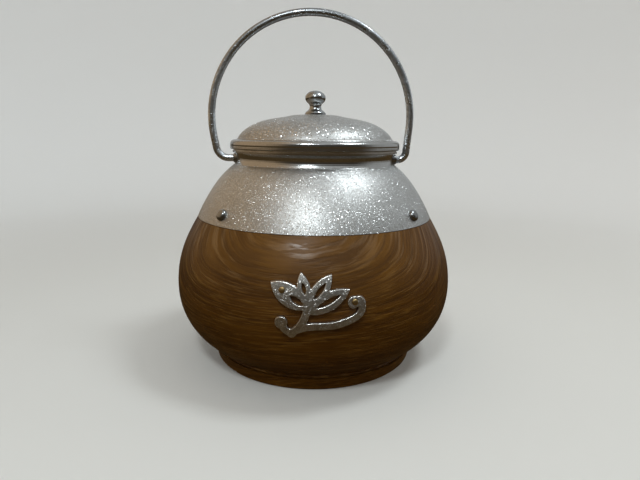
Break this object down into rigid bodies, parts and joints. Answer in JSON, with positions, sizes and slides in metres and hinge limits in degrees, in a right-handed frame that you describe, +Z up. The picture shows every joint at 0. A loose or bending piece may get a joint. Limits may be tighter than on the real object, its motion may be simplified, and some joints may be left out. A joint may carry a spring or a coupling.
{
  "type": "tea caddy",
  "caption": "Round-bellied turned wooden tea caddy with a metal collar, a domed lift-off lid with a knob, and a swing handle of round wire.",
  "frame": {"origin": "on the turning axis, at the underside of the foot", "axes": "+Z up along the turning axis, the badge faces -Y, the handle's hinge line runs along X"},
  "size_m": [0.136, 0.1378, 0.1673],
  "materials": {
    "walnut_wood": "satin varnish over open grain",
    "frosted_silver_sheet": "fine sparkling hammer finish",
    "polished_nickel": "polished, lightly tarnished",
    "drawn_wire": "drawn and polished, lightly tarnished",
    "dark_nickel": "domed, dull polish",
    "tinned_sheet": "spun, satin",
    "cast_pewter": "sandy cast face, bright edges",
    "brass": "polished, toned",
    "zinc_screw": "plain plated",
    "green_felt": "short felt"
  },
  "bodies": {
    "caddy": {"wood_bowl": "walnut_wood", "base_felt": "green_felt", "tea_liner": "tinned_sheet", "shoulder_collar": "frosted_silver_sheet", "collar_pin_front_left": "dark_nickel", "collar_pin_front_right": "dark_nickel", "collar_pin_back_left": "dark_nickel", "collar_pin_back_right": "dark_nickel", "handle_bush_left": "dark_nickel", "handle_bush_right": "dark_nickel", "badge": "cast_pewter", "badge_pin_left": "brass", "badge_pin_right": "brass"},
    "handle": {"bail_handle": "drawn_wire"},
    "lid": {"lid_shell": "frosted_silver_sheet", "lid_ring": "tinned_sheet", "lid_knob": "polished_nickel", "knob_washer": "brass", "knob_screw": "zinc_screw"}
  },
  "joints": [
    {"name": "handle_swing", "type": "hinge", "parent": "caddy", "child": "handle", "pos_m": [0, 0, 0.0979], "axis": [1, 0, 0], "range_deg": [-114, 114]},
    {"name": "lid_lift", "type": "slide", "parent": "caddy", "child": "lid", "axis": [0, 0, 1], "range_m": [0, 0.028]}
  ]
}
